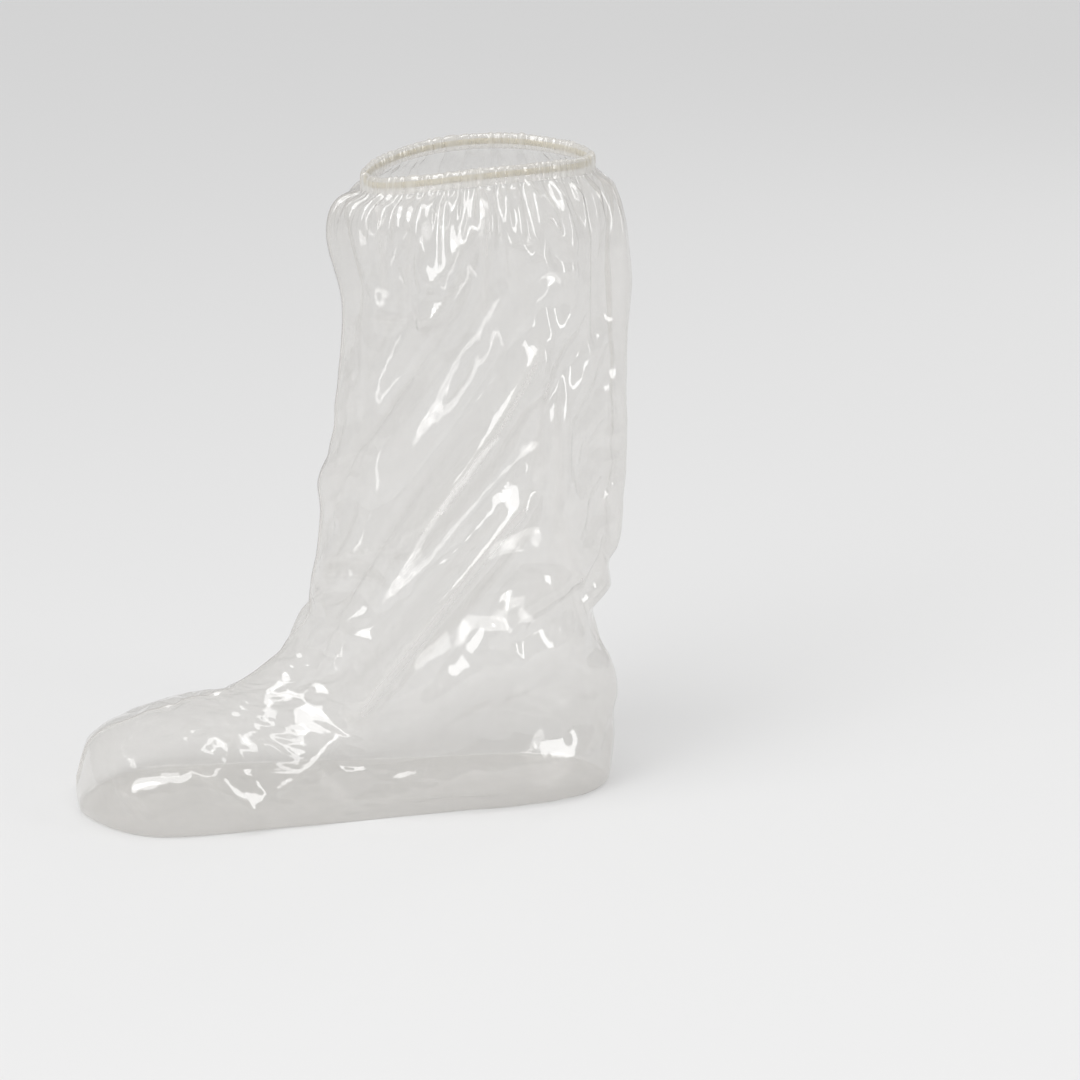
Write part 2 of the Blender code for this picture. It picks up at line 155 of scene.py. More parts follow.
FOOT_SECTIONS = (
    (-0.410, 0.990, 0.870, 0.97, 0.95, 0.45, 0.00),
    (-0.427, 0.910, 0.875, 0.81, 0.94, 0.40, 0.00),
    (-0.445, 0.848, 0.920, 0.66, 0.93, 0.35, 0.00),
    (-0.460, 0.803, 0.980, 0.51, 0.91, 0.32, 0.00),
    (-0.475, 0.762, 0.980, 0.34, 0.88, 0.30, 0.05),
    (-0.490, 0.725, 0.965, 0.16, 0.85, 0.28, 0.10),
    (-0.508, 0.693, 0.940, -0.07, 0.82, 0.26, 0.20),
    (-0.532, 0.655, 0.790, -0.24, 0.79, 0.25, 0.30),
    (-0.558, 0.618, 0.450, -0.26, 0.78, 0.25, 0.40),
    (-0.594, 0.574, 0.050, -0.22, 0.80, 0.25, 0.55),
    (-0.636, 0.538, -0.260, -0.18, 0.87, 0.25, 0.70),
    (-0.700, 0.512, -0.530, -0.14, 0.95, 0.25, 0.80),
    (-0.780, 0.478, -0.740, -0.13, 1.00, 0.25, 0.80),
    (-0.860, 0.424, -0.850, -0.12, 0.91, 0.20, 0.80),
    (-0.930, 0.362, -0.928, -0.08, 0.68, 0.10, 0.60),
    (-0.967, 0.290, -0.968, -0.04, 0.48, 0.00, 0.40),
    (-0.992, 0.150, -0.992, -0.01, 0.26, 0.00, 0.20),
)

# Folds as three points across and up in a side view, with shares of the width and height of a fold
FOLD_COLUMNS = ("view", "across_1", "up_1", "across_2", "up_2", "across_3", "up_3", "width", "height")
FOLDS = (
    ("left", 0.30, 0.751, 0.06, 0.610, -0.24, 0.410, 1.00, 0.95),
    ("left", -0.23, 0.429, -0.31, 0.424, -0.45, 0.356, 0.86, 0.60),
    ("left", 0.27, 0.517, -0.11, 0.390, -0.37, 0.122, 1.00, 1.00),
    ("left", 0.64, 0.276, -0.12, 0.232, -0.51, 0.040, 1.30, 0.70),
    ("left", 0.30, 0.751, 0.30, 0.630, 0.30, 0.515, 0.82, 0.50),
    ("left", 0.41, 0.670, 0.42, 0.500, 0.65, 0.340, 0.82, 0.60),
    ("left", 0.57, 0.363, 0.30, 0.341, 0.01, 0.312, 0.86, 0.60),
    ("left", -0.03, 0.960, -0.03, 0.860, -0.03, 0.760, 0.78, 0.45),
    ("left", -0.05, 0.920, -0.10, 0.875, -0.16, 0.825, 0.82, 0.60),
    ("left", -0.05, 0.893, -0.08, 0.800, -0.18, 0.772, 0.82, 0.55),
    ("left", 0.31, 0.940, 0.42, 0.910, 0.52, 0.873, 0.78, 0.50),
    ("left", -0.02, 0.880, 0.25, 0.862, 0.55, 0.832, 0.82, 0.40),
    ("left", -0.70, 0.100, -0.65, 0.060, -0.58, 0.020, 0.82, 0.55),
    ("left", -0.90, 0.075, -0.80, 0.090, -0.68, 0.070, 0.82, 0.50),
    ("left", -0.30, 0.055, 0.10, 0.070, 0.70, 0.060, 0.90, 0.40),
    ("right", 0.36, 0.780, 0.02, 0.640, -0.26, 0.460, 1.00, 0.90),
    ("right", 0.36, 0.550, -0.08, 0.400, -0.36, 0.150, 1.00, 1.00),
    ("right", 0.70, 0.300, -0.08, 0.245, -0.46, 0.045, 1.30, 0.70),
    ("right", 0.30, 0.710, 0.34, 0.610, 0.33, 0.490, 0.82, 0.50),
    ("right", 0.62, 0.380, 0.32, 0.350, 0.02, 0.330, 0.86, 0.60),
    ("right", 0.02, 0.950, 0.02, 0.860, 0.02, 0.740, 0.78, 0.45),
    ("right", -0.03, 0.900, -0.12, 0.850, -0.20, 0.790, 0.82, 0.55),
    ("right", 0.05, 0.880, 0.28, 0.860, 0.60, 0.840, 0.82, 0.40),
    ("right", -0.86, 0.085, -0.74, 0.090, -0.62, 0.035, 0.82, 0.55),
    ("right", -0.30, 0.060, 0.15, 0.075, 0.70, 0.060, 0.90, 0.40),
    ("front", -0.08, 0.480, 0.12, 0.520, 0.42, 0.580, 0.86, 0.40),
    ("front", 0.15, 0.460, 0.45, 0.440, 0.80, 0.360, 0.80, 0.40),
    ("front", -0.60, 0.250, -0.35, 0.270, -0.05, 0.285, 0.86, 0.40),
    ("front", 0.05, 0.345, 0.30, 0.315, 0.60, 0.265, 0.86, 0.35),
    ("back", 0.28, 0.860, 0.22, 0.600, 0.30, 0.340, 0.86, 0.60),
    ("back", -0.30, 0.840, -0.24, 0.560, -0.34, 0.370, 0.86, 0.50),
    ("back", -0.50, 0.345, 0.00, 0.300, 0.50, 0.335, 0.80, 0.60),
)

# Sharp creases that stand on the folds: the narrow crests that catch the light. Columns as in FOLDS.
CREASES = (
    ("left", 0.30, 0.751, 0.03, 0.610, -0.24, 0.420, 1.00, 1.00),
    ("left", -0.22, 0.429, -0.31, 0.430, -0.45, 0.356, 0.80, 0.80),
    ("left", 0.27, 0.517, -0.11, 0.390, -0.37, 0.122, 1.00, 1.10),
    ("left", 0.30, 0.751, 0.30, 0.630, 0.30, 0.515, 0.70, 0.70),
    ("left", 0.41, 0.670, 0.40, 0.520, 0.44, 0.440, 0.70, 0.80),
    ("left", 0.44, 0.490, 0.50, 0.410, 0.65, 0.340, 0.70, 0.70),
    ("left", 0.47, 0.700, 0.49, 0.600, 0.48, 0.500, 0.60, 0.50),
    ("left", 0.57, 0.363, 0.30, 0.341, 0.01, 0.312, 1.10, 0.60),
    ("left", -0.03, 0.980, -0.03, 0.880, -0.03, 0.790, 0.60, 0.80),
    ("left", -0.05, 0.930, -0.10, 0.875, -0.18, 0.825, 0.60, 0.80),
    ("left", -0.05, 0.905, -0.09, 0.830, -0.18, 0.772, 0.60, 0.80),
    ("left", 0.05, 0.900, 0.22, 0.890, 0.40, 0.850, 0.60, 0.50),
    ("left", 0.31, 0.940, 0.42, 0.910, 0.52, 0.873, 0.60, 0.70),
    ("left", -0.26, 0.960, -0.26, 0.880, -0.24, 0.800, 0.60, 0.70),
    ("left", -0.20, 0.950, -0.19, 0.860, -0.21, 0.780, 0.60, 0.60),
    ("left", -0.14, 0.800, -0.20, 0.760, -0.27, 0.770, 0.60, 0.80),
    ("left", 0.20, 0.560, 0.00, 0.500, -0.12, 0.440, 0.60, 0.40),
    ("left", -0.37, 0.140, -0.45, 0.090, -0.56, 0.045, 0.70, 0.50),
    ("left", -0.90, 0.080, -0.86, 0.060, -0.83, 0.030, 0.70, 0.60),
    ("left", -0.76, 0.110, -0.68, 0.080, -0.58, 0.020, 0.70, 0.50),
    ("left", -0.86, 0.140, -0.74, 0.150, -0.62, 0.120, 0.80, 0.50),
    ("left", -0.20, 0.030, 0.20, 0.045, 0.75, 0.035, 0.80, 0.60),
    ("left", -0.05, 0.060, 0.30, 0.075, 0.80, 0.070, 0.70, 0.50),
    ("left", -0.45, 0.020, -0.15, 0.045, 0.15, 0.025, 0.80, 0.50),
    ("left", -0.93, 0.100, -0.90, 0.060, -0.86, 0.020, 0.60, 0.50),
)
# On the sides that the photograph doesn't show, fainter creases follow the folds
UNSEEN_CREASE = 0.35
CREASES += tuple((*row[:-1], UNSEEN_CREASE * row[-1]) for row in FOLDS if row[0] != "left")
CREASE_WIDTH = 0.0050
CREASE_HEIGHT = 0.0038
CREASE_ROUND = 0.80
CREASE_WHITE_FADE = 3.0
CREASE_SOLE_GAP = 0.008

# The way towards the eye in each side view of the folds
VIEW_FACING = {
    "left": (1.0, 0.0, 0.0),
    "right": (-1.0, 0.0, 0.0),
    "front": (0.0, -1.0, 0.0),
    "back": (0.0, 1.0, 0.0),
}

# Fine pleats of the film under the casing
PLEAT_COUNT = 64
PLEAT_DRIFT = (0.0, ((2.0, 5, 0.0),))
PLEAT_DEPTH = 0.0011
PLEAT_LENGTH = 0.030
PLEAT_START = 0.004
PLEAT_ROWS = 0.5

# The weld line down the front, and how milky the film is on its creases, its weld and its pleats
WELD_HALF_WIDTH = 0.0016
WELD_HEIGHT = 0.0014
WELD_POWER = 4
CREASE_MILK = 0.8
WELD_MILK = 0.9
PLEAT_MILK = 0.35

# Rings that close the toe, as shares of the way to its tip, and how much of the room before the toe's
# full reach the tip takes
TOE_RINGS = (0.35, 0.7)
TOE_TIP = 0.8

# Section of the casing, from its inner lower edge over the top to its outer lower edge: distance out
# from the film's edge and height above it in metres, and the share of a pleat's depth that it takes
HEM_COLUMNS = ("out", "up", "pleat")
HEM_SECTION = (
    (-0.0020, -0.0010, -0.8),
    (-0.0022, 0.0020, -1.0),
    (-0.0018, 0.0050, -0.9),
    (-0.0010, 0.0066, -0.4),
    (0.0002, 0.0072, 0.2),
    (0.0014, 0.0064, 0.8),
    (0.0021, 0.0048, 1.0),
    (0.0024, 0.0020, 1.0),
    (0.0022, -0.0004, 1.0),
    (0.0024, -0.0030, 1.2),
)
HEM_TURNS = 720
HEM_STEPS = 2
HEM_PLEATS = 74
HEM_FINE_PLEATS = 127
HEM_FINE_SHARE = 0.35
HEM_DRIFT = (0.0, ((3.4, 3, 0.7), (2.1, 8, 2.0), (1.3, 19, 0.0)))
HEM_EVENNESS = (0.62, ((0.24, 9, 1.1), (0.14, 23, 0.4)))
HEM_PLEAT_DEPTH = 0.0011
HEM_SCALLOP = 0.0014
HEM_SCALLOP_START = 0.006
HEM_MILK = 0.5

# Section of the elastic, as shares of its thickness and height
ELASTIC_SECTION = ((0.5, 0.0), (0.5, 0.5), (0.5, 1.0), (-0.5, 1.0), (-0.5, 0.5), (-0.5, 0.0))
ELASTIC_TURNS = 480
ELASTIC_HEIGHT = 0.0036
ELASTIC_THICK = 0.0008
ELASTIC_LIFT = 0.0006
ELASTIC_RIPPLE = (0.0, ((0.0003, HEM_PLEATS, 0.4), (0.0002, 31, 0.0)))
ELASTIC_RIBS = 380.0

# Film: colour of what it lets through, gloss of both its faces seen straight on, how fast the gloss and
# the milky veil grow at a slant, and the waviness of handled film
FILM_CLEAR = (0.975, 0.970, 0.962, 1.0)
FILM_SHINE = 0.10
FILM_GLOSS_ROUGHNESS = 0.10
FILM_GLOSS_POWER = 5.0
FILM_VEIL_ROUGHNESS = 0.45
FILM_VEIL_POWER = 3.0
FILM_WAVE_SCALE = 55.0
FILM_WAVE_STRETCH = (1.0, 1.0, 0.45)
FILM_WAVE_STRENGTH = 0.40
FILM_WAVE_DEPTH = 0.0015

# How milky the single film and the gathered film of the casing are: all over, at a slant and on creases.
# The veil all over is partly even and partly in cloudy waves.
FILM_LOOK = {"haze": 0.13, "edge_haze": 0.40, "milky_haze": 0.34, "haze_color": (0.66, 0.64, 0.61)}
HEM_LOOK = {"haze": 0.30, "edge_haze": 0.45, "milky_haze": 0.40, "haze_color": (0.78, 0.76, 0.72)}
HAZE_EVEN = 0.5

# Woven elastic
ELASTIC_DARK = (0.62, 0.55, 0.38, 1.0)
ELASTIC_CREAM = (0.86, 0.81, 0.66, 1.0)
ELASTIC_STAIN_SCALE = 60.0
ELASTIC_RIB_STRENGTH = 0.6
ELASTIC_RIB_DEPTH = 0.0003
ELASTIC_ROUGHNESS = 0.8

# Camera: its place and its turn, found from the cover's outline in the photograph
CAMERA_PLACE = (2.16658, -0.38203, 0.8)
CAMERA_YAW = math.radians(79.004)
CAMERA_PITCH = math.radians(16.191)
CAMERA_LENS = 120.1
CAMERA_SENSOR = 36.0
CAMERA_FAR = 50.0

# Pale floor just under the sole
FLOOR_SIZE = 14.0
FLOOR_GAP = 0.0003
FLOOR_COLOR = (0.80, 0.80, 0.80, 1.0)
FLOOR_ROUGHNESS = 0.7
FLOOR_GRAIN_SCALE = 40.0
FLOOR_GRAIN_STRENGTH = 0.02

# Light: a bright room, a broad sun for the floor, and softboxes that the film mirrors
ROOM_COLOR = (0.96, 0.96, 0.96, 1.0)
ROOM_STRENGTH = 0.58
SUN_PLACE = (0.8, -0.9, 1.6)
SUN_STRENGTH = 1.0
SUN_SPREAD = math.radians(40.0)
LIGHT_TARGET = (0.0, -0.05, 0.20)
SOFTBOX_COLUMNS = ("name", "place", "width", "height", "power")
SOFTBOXES = (
    ("key", (1.5, -1.7, 1.5), 0.9, 1.4, 11.0),
    ("side", (1.3, 1.6, 0.9), 0.35, 1.4, 5.5),
    ("top", (0.4, -0.1, 2.2), 1.4, 0.6, 6.0),
    ("behind", (-1.5, 1.6, 1.4), 0.5, 1.3, 3.0),
)


def mix(low, high, share):
    """The value a share of the way from low to high."""
    return low + (high - low) * share


def smooth(share):
    """An ease from 0 to 1."""
    share = np.clip(share, 0.0, 1.0)
    return share * share * (3.0 - 2.0 * share)


def along(share):
    """A place along the foot: forward of the leg axis is -Y, and backward is +Y."""
    return share * (HEEL_REACH if share > 0.0 else TOE_REACH)


def shaft_section(row):
    """One section of the shaft: its front point, its back point and its form, as ten numbers."""
    item = dict(zip(SHAFT_COLUMNS, row))
    front_level = mix(ANKLE_HEIGHT, RIM_LEVEL - MOUTH_DROP, item["front_level"])
    back_level = mix(ANKLE_HEIGHT, RIM_LEVEL, item["back_level"])
    half_width = item["half_width"] * SHAFT_HALF_WIDTH
    top = (0.0, -item["front"] * SHAFT_FRONT, front_level)
    low = (0.0, item["back"] * SHAFT_BACK, back_level)
    return (*top, *low, half_width, item["keel"], 0.0, item["crown"] * MOUTH_CROWN)


def foot_section(row):
    """One section of the foot: its upper point, its lower point and its form."""
    item = dict(zip(FOOT_COLUMNS, row))
    top = (0.0, along(item["top_y"]), item["top_z"] * ANKLE_HEIGHT)
    low = (0.0, along(item["low_y"]), item["low_z"] * ANKLE_HEIGHT)
    return (*top, *low, item["half_width"] * FOOT_HALF_WIDTH, item["keel"], item["flat"], 0.0)


def curve_through(points, steps):
    """A smooth curve through rows of numbers, with a number of steps from each row to the next."""
    last = len(points) - 1
    rows = []
    for index in range(last):
        before, start, end, after = (points[min(max(index + offset, 0), last)] for offset in (-1, 0, 1, 2))
        share = (np.arange(steps) / steps)[:, None]
        leave = (end - before) * 0.5
        arrive = (after - start) * 0.5
        rows.append(
            start * (2.0 * share**3 - 3.0 * share**2 + 1.0)
            + leave * (share**3 - 2.0 * share**2 + share)
            + end * (3.0 * share**2 - 2.0 * share**3)
            + arrive * (share**3 - share**2)
        )
    rows.append(points[last:])
    return np.concatenate(rows)


def evenly(values, length, count):
    """Rows of values picked at even steps of a growing length."""
    places = np.linspace(length[0], length[-1], count)
    return np.stack([np.interp(places, length, column) for column in values.T], axis=1)


def section_rows(count):
    """The film's sections from the mouth to the toe, evenly spaced."""
    sections = [shaft_section(row) for row in SHAFT_SECTIONS]
    sections += [foot_section(row) for row in FOOT_SECTIONS]
    dense = curve_through(np.array(sections), DENSE_STEPS)
    step = np.linalg.norm(np.diff(dense[:, 0:3], axis=0), axis=1)
    step += np.linalg.norm(np.diff(dense[:, 3:6], axis=0), axis=1)
    length = np.concatenate([[0.0], np.cumsum(step)])
    return evenly(dense, length, count)


def section_points(section, angle):
    """The points of a section at an array of angles: 0 is its top or front, pi its low or back end."""
    top, low = section[0:3], section[3:6]
    half_width, keel, flat, crown = section[6:10]
    across = np.sin(angle)
    toward = np.cos(angle)
    upper = toward >= 0.0
    edge = keel * np.maximum(toward, 0.0)
    power = mix(1.0, 0.5, flat)
    width = np.where(upper, mix(np.abs(across), across**2, edge), np.abs(across) ** power)
    place = np.where(upper, toward, -(np.abs(toward) ** power))
    points = (top + low) * 0.5 + place[:, None] * (top - low) * 0.5
    points[:, 0] = half_width * np.copysign(width, across)
    points[:, 2] += crown * across**2
    return points


def form_grid(rows, columns):
    """The plain film as a grid of points, with the angle of each point round its section."""
    dense = np.linspace(0.0, 2.0 * math.pi, DENSE_ANGLES)
    points = []
    turns = []
    for section in section_rows(rows):
        ring = section_points(section, dense)
        length = np.concatenate([[0.0], np.cumsum(np.linalg.norm(np.diff(ring, axis=0), axis=1))])
        picked = evenly(np.column_stack([ring, dense]), length, columns + 1)[:-1]
        points.append(picked[:, :3])
        turns.append(picked[:, 3])
    return np.array(points), np.array(turns)


def grid_normals(points):
    """The outward normal at each point of a grid whose rows close on themselves."""
    around = np.roll(points, -1, axis=1) - np.roll(points, 1, axis=1)
    down = np.empty_like(points)
    down[1:-1] = points[2:] - points[:-2]
    down[0] = points[1] - points[0]
    down[-1] = points[-1] - points[-2]
    normals = np.cross(down, around)
    return normals / np.maximum(np.linalg.norm(normals, axis=2, keepdims=True), TINY)


def fold_route(row):
    """The line of a fold, as its facing, its points, its width and its height."""
    item = dict(zip(FOLD_COLUMNS, row))
    corners = []
    for number in (1, 2, 3):
        across = item[f"across_{number}"]
        sideways = item["view"] in ("left", "right")
        place = along(across) if sideways else across * SHAFT_HALF_WIDTH
        corners.append(np.array((place, item[f"up_{number}"] * HEIGHT)))
    share = np.linspace(0.0, 1.0, FOLD_STEPS + 1)[:, None]
    first = mix(corners[0], corners[1], share)
    second = mix(corners[1], corners[2], share)
    return item["view"], mix(first, second, share), item["width"], item["height"]


def line_distance(places, points):
    """How far each place is from a line, and how far along it the nearest point is, 0 to 1."""
    best = np.full(len(places), np.inf)
    where = np.zeros(len(places))
    last = len(points) - 1
    for index in range(last):
        start = points[index]
        run = points[index + 1] - start
        share = np.clip((places - start) @ run / (run @ run), 0.0, 1.0)
        distance = np.linalg.norm(places - start - share[:, None] * run, axis=1)
        nearer = distance < best
        best = np.where(nearer, distance, best)
        where = np.where(nearer, (index + share) / last, where)
    return best, where


def fold_fields(points, normals, table):
    """For each fold, how strongly each point belongs to it and how far it lies from the line."""
    flat_points = points.reshape(-1, 3)
    flat_normals = normals.reshape(-1, 3)
    for row in table:
        view, route, width, height = fold_route(row)
        squareness = flat_normals @ np.array(VIEW_FACING[view])
        facing = smooth((squareness - FACING_NONE) / (FACING_FULL - FACING_NONE))
        across = flat_points[:, 1] if view in ("left", "right") else flat_points[:, 0]
        distance, share = line_distance(np.stack([across, flat_points[:, 2]], axis=1), route)
        rise = smooth(share / FOLD_END_LENGTH + FOLD_END_START)
        fall = smooth((1.0 - share) / FOLD_END_LENGTH + FOLD_END_START)
        yield facing * rise * fall * height, distance, width


def fold_lift(points, normals):
    """How far the folds lift the film at each point. Where folds meet, the highest ones count most."""
    crests = np.zeros(points.shape[0] * points.shape[1])
    deepest = np.zeros_like(crests)
    for strength, distance, width in fold_fields(points, normals, FOLDS):
        reach = distance / (width * FOLD_WIDTH)
        crests += (strength * np.exp(-(reach**2))) ** FOLD_MEETING
        valley = np.exp(-VALLEY_SHARPNESS * (reach - VALLEY_PLACE) ** 2)
        deepest = np.maximum(deepest, strength * VALLEY_DEPTH * valley)
    return FOLD_HEIGHT * (crests ** (1.0 / FOLD_MEETING) - deepest).reshape(points.shape[:2])


def uneven(run, angle):
    """An uneven run round the mouth: a level and sine waves, each a height, times round and a phase."""
    level, waves = run
    return level + sum(height * np.sin(times * angle + phase) for height, times, phase in waves)


def gather_lift(depth_below_rim, angle):
    """How far the gathers push the film in or out under the mouth, less at the front than at the back."""
    spread = mix(GATHER_FRONT, 1.0, smooth(1.0 - np.cos(angle)))
    wave = uneven(GATHER_EVENNESS, angle) * spread * np.cos(GATHER_COUNT * angle)
    broad = uneven(FLUTES, angle)
    share = depth_below_rim / GATHER_LENGTH
    fine = wave * np.exp(-GATHER_FADE * np.maximum(share, 0.0))
    slow = broad * np.exp(-FLUTE_FADE * (share - FLUTE_PLACE) ** 2)
    return (fine + slow) * smooth(depth_below_rim / GATHER_START) * GATHER_DEPTH


def folded_grid():
    """The coarse grid with its main folds and gathers."""
    points, turns = form_grid(ROWS, COLUMNS)
    normals = grid_normals(points)
    level = points[:, :, 2]
    rim = np.broadcast_to(level[0], level.shape)
    off_sole = smooth((normals[:, :, 2] + SOLE_TURN) / (1.0 - SOLE_TURN)) * smooth(level / FOLD_WIDTH)
    lift = fold_lift(points, normals) + gather_lift(rim - level, turns)
    points = points + normals * (lift * off_sole)[:, :, None]
    points[:, :, 2] = np.maximum(points[:, :, 2], -WALL)
    return points


def grid_mesh(name, points, closed=False):
    """A smooth mesh from a grid of points whose rows close on themselves, and its columns too if closed."""
    rows, columns = points.shape[:2]
    row = np.arange(rows if closed else rows - 1)[:, None]
    below = (row + 1) % rows
    column = np.arange(columns)[None, :]
    after = (column + 1) % columns
    corners = ((row, column), (below, column), (below, after), (row, after))
    quads = np.stack([line * columns + place for line, place in corners], axis=2)
    mesh = bpy.data.meshes.new(name)
    mesh.from_pydata(points.reshape(-1, 3).tolist(), [], quads.reshape(-1, 4).tolist())
    mesh.shade_smooth()
    thing = bpy.data.objects.new(name, mesh)
    bpy.context.scene.collection.objects.link(thing)
    return thing


def hold_strengths(points):
    """How firmly each point keeps its place while the film buckles, 0 to 1."""
    rows = points.shape[0]
    row = np.arange(rows)[:, None] / rows
    rim = 1.0 - smooth(row / END_HOLD_ROWS)
    sole = SOLE_HOLD * (1.0 - smooth(points[:, :, 2] / SOLE_HOLD_HEIGHT))
    tip = 1.0 - smooth((1.0 - row) / END_HOLD_ROWS)
    return np.maximum(np.maximum(rim, sole), tip)


def link(points, down, along_row):
    """The vector from each point to the one some rows down and some columns along."""
    rows = points.shape[0]
    return np.roll(points[down:], -along_row, axis=1) - points[:rows - down]


def rest_lengths(points, down, along_row, share):
    """The length of each link of the slack film, with a share of the slack."""
    reach = link(points, down, along_row)
    length = np.linalg.norm(reach, axis=2)
    way = reach / np.maximum(length, TINY)[:, :, None]
    level = points[:points.shape[0] - down, :, 2] / HEIGHT
    table = dict(zip(SLACK_COLUMNS, np.array(SLACK).T))
    around, lengthwise, diagonal = (
        np.interp(level, table["level"], table[name]) for name in ("around", "along", "diagonal")
    )
    steep = (way @ np.array(SLACK_ACROSS)) ** 2
    upright = way[:, :, 2] ** 2
    slack = around * (1.0 - upright) + lengthwise * upright + diagonal * steep
    return length * (1.0 + share * slack)


def first_waves(points):
    """Faint waves of many directions and lengths, from which the buckles grow."""
    random = np.random.default_rng(SLACK_SEED)
    way = random.standard_normal((SLACK_WAVES, 3))
    way /= np.linalg.norm(way, axis=1, keepdims=True)
    length = random.uniform(*SLACK_WAVE_LENGTHS, SLACK_WAVES)
    phase = random.uniform(0.0, 2.0 * math.pi, SLACK_WAVES)
    waves = np.sin(points @ (way * (2.0 * math.pi / length)[:, None]).T + phase)
    return waves.sum(axis=2, keepdims=True) / math.sqrt(0.5 * SLACK_WAVES)


def buckled(points, rounds, slack, bend, hold_to_form):
    """The film a little too long for its form, settled as cloth that is held loosely to that form."""
    form = points.copy()
    hold = hold_strengths(points)[:, :, None]
    points = points + grid_normals(form) * first_waves(form) * slack * SLACK_START * (1.0 - hold)
    links = []
    for pairs, stiffness in ((STRETCH_LINKS, STRETCH_STIFFNESS), (BEND_LINKS, bend)):
        for down, along_row in pairs:
            links.append((down, along_row, rest_lengths(form, down, along_row, slack), 0.5 * stiffness))
    for _ in range(rounds):
        for down, along_row, rest, firmness in links:
            reach = link(points, down, along_row)
            length = np.maximum(np.linalg.norm(reach, axis=2), TINY)
            pull = reach * (firmness * (1.0 - rest / length))[:, :, None]
            points[:points.shape[0] - down] += pull
            points[down:] -= np.roll(pull, along_row, axis=1)
        points += (form - points) * np.maximum(hold, hold_to_form)
        away = points - form
        far = np.maximum(np.linalg.norm(away, axis=2, keepdims=True), BUCKLE_REACH)
        points = form + away * (BUCKLE_REACH / far)
        points[:, :, 2] = np.maximum(points[:, :, 2], -WALL)
    return points


def refined(points):
    """The grid made twice as fine each way, by the four-point rule for smooth curves through points."""
    before, after, beyond = (np.roll(points, places, axis=1) for places in (1, -1, -2))
    between = (9.0 * (points + after) - before - beyond) / 16.0
    wide = np.stack([points, between], axis=2).reshape(points.shape[0], -1, points.shape[2])
    padded = np.concatenate([2.0 * wide[:1] - wide[1:2], wide, 2.0 * wide[-1:] - wide[-2:-1]])
    middle = (9.0 * (padded[1:-2] + padded[2:-1]) - padded[:-3] - padded[3:]) / 16.0
    tall = np.empty((2 * wide.shape[0] - 1, *wide.shape[1:]))
    tall[0::2] = wide
    tall[1::2] = middle
    return tall


def crease_lift(points, normals):
    """The sharp crests of the creases, and how white the film is there."""
    lift = np.zeros(points.shape[0] * points.shape[1])
    white = np.zeros_like(lift)
    for strength, distance, width in fold_fields(points, normals, CREASES):
        reach = np.sqrt((distance / (width * CREASE_WIDTH)) ** 2 + CREASE_ROUND**2)
        lift += strength * np.exp(CREASE_ROUND - reach)
        white = np.maximum(white, strength * np.exp(-CREASE_WHITE_FADE * (reach - CREASE_ROUND)))
    shape = points.shape[:2]
    return CREASE_HEIGHT * lift.reshape(shape), white.reshape(shape)


def finished_grid(fine):
    """The fine grid with its creases, fine pleats and weld line, and how milky the film is at each point."""
    rows, columns = fine.shape[:2]
    turns = form_grid(rows, columns)[1]
    normals = grid_normals(fine)
    lift, white = crease_lift(fine, normals)
    below_rim = fine[0][None, :, 2] - fine[:, :, 2]
    upper = np.arange(rows)[:, None] < PLEAT_ROWS * rows
    wave = np.cos(PLEAT_COUNT * turns + uneven(PLEAT_DRIFT, turns))
    share = np.maximum(below_rim, 0.0) / PLEAT_LENGTH
    pleats = upper * np.exp(-share**2) * smooth(below_rim / PLEAT_START)
    lift += PLEAT_DEPTH * pleats * wave
    aside = np.abs(fine[:, :, 0])
    forward = np.minimum(turns, 2.0 * math.pi - turns) < 0.5 * math.pi
    weld = forward * np.exp(-((aside / WELD_HALF_WIDTH) ** WELD_POWER)) * smooth(below_rim / GATHER_START)
    lift += WELD_HEIGHT * weld
    off_sole = smooth(fine[:, :, 2] / CREASE_SOLE_GAP)
    fine = fine + normals * (lift * off_sole)[:, :, None]
    fine[:, :, 2] = np.maximum(fine[:, :, 2], -WALL)
    milky = np.maximum(white * CREASE_MILK, weld * WELD_MILK) + PLEAT_MILK * pleats
    return fine, np.clip(milky, 0.0, 1.0)


def set_milky(thing, values):
    """Stores how milky the film is at each point of a mesh, for its material."""
    layer = thing.data.attributes.new("milky", "FLOAT", "POINT")
    layer.data.foreach_set("value", values.reshape(-1).astype(np.float32))


def close_toe(film, rows, columns):
    """Fills the small ring that is left at the tip of the toe."""
    shape = bmesh.new()
    shape.from_mesh(film.data)
    shape.verts.ensure_lookup_table()
    ring = [shape.verts[(rows - 1) * columns + column] for column in range(columns)]
    milky = shape.verts.layers.float["milky"]
    inner = ring
    middle = sum((vert.co for vert in ring), Vector()) / columns
    middle.y -= (TOE_REACH + middle.y) * TOE_TIP
    for share in TOE_RINGS:
        row = []
        for vert in ring:
            place = vert.co.lerp(middle, share)
            place.y = mix(vert.co.y, middle.y, math.sin(share * math.pi * 0.5))
            row.append(shape.verts.new(place))
            row[-1][milky] = 0.0
        for column in range(columns):
            after = (column + 1) % columns
            shape.faces.new((inner[column], row[column], row[after], inner[after]))
        inner = row
    tip = shape.verts.new(middle)
    for column in range(columns):
        shape.faces.new((inner[column], tip, inner[(column + 1) % columns]))
    for face in shape.faces:
        face.smooth = True
    shape.to_mesh(film.data)
    shape.free()


def make_film():
    """The clear film bag."""
    points = folded_grid()
    for grid, row in enumerate(BUCKLES):
        item = dict(zip(BUCKLE_COLUMNS, row))
        if grid > 0:
            points = refined(points)
        points = buckled(points, item["rounds"], item["slack"], item["bend"], item["form"])
    points, milky = finished_grid(points)
    film = grid_mesh("film", points)
    set_milky(film, milky)
    close_toe(film, *points.shape[:2])
    film.data.materials.append(film_material())
    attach(film, "root")
    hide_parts("film_body")
    return film


